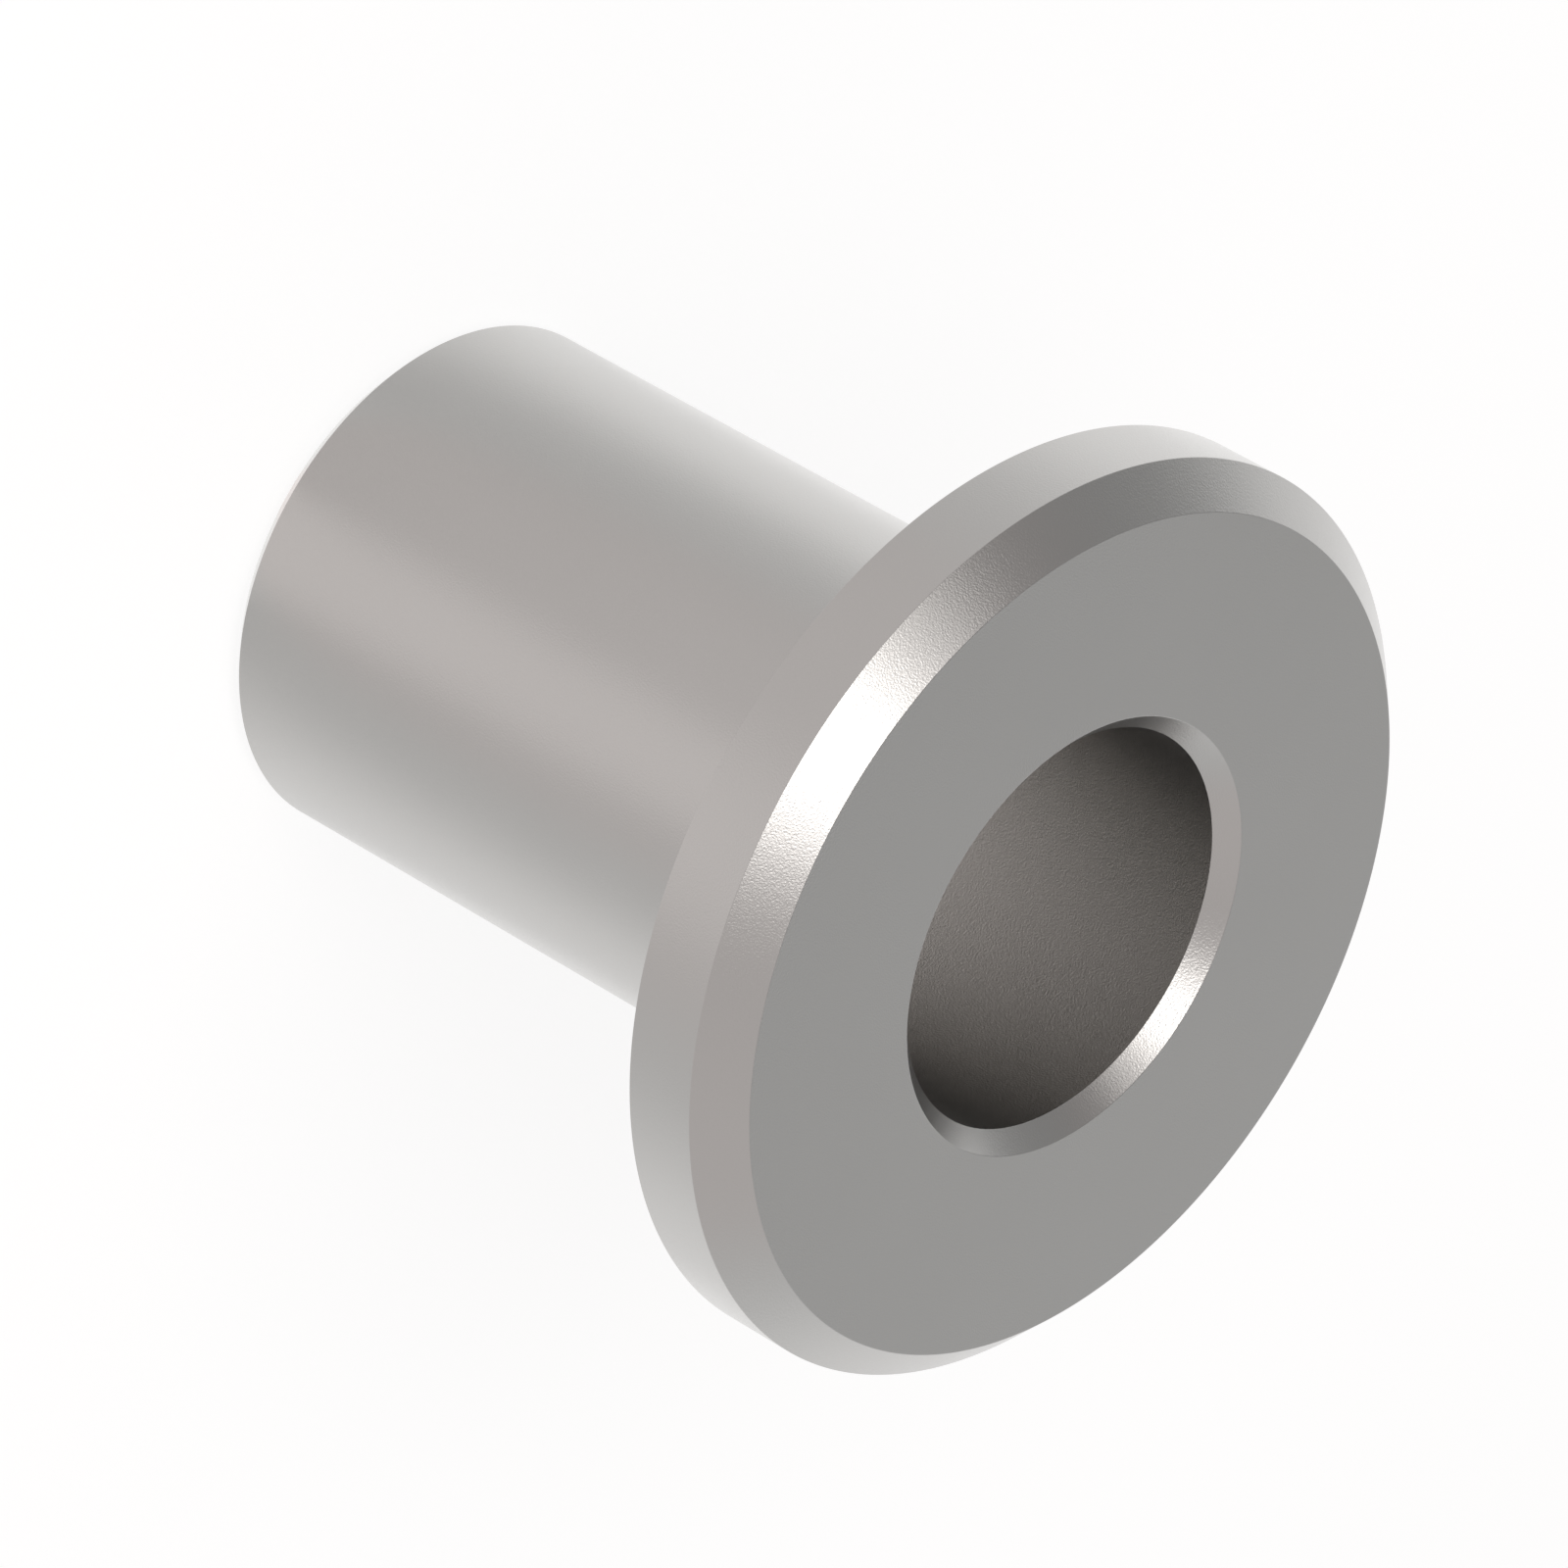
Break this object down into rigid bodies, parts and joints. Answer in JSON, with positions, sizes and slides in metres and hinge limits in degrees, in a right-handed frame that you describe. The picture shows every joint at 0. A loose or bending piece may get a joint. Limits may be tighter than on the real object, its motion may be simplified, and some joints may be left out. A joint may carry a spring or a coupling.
{
  "type": "flanged bushing",
  "caption": "Turned steel bushing: a straight sleeve with a smooth through bore and a round flange with a chamfered front edge at one end.",
  "frame": {"origin": "centre of the sleeve's free end, on the bore axis", "axes": "+Z along the bore axis from the sleeve's free end towards the flange; X and Y are free, because the part is round"},
  "size_m": [0.024, 0.024, 0.0225],
  "materials": {
    "turned_steel": "satin, fine turned, bare"
  },
  "bodies": {
    "root": {"flanged_bushing": "turned_steel"}
  },
  "joints": []
}
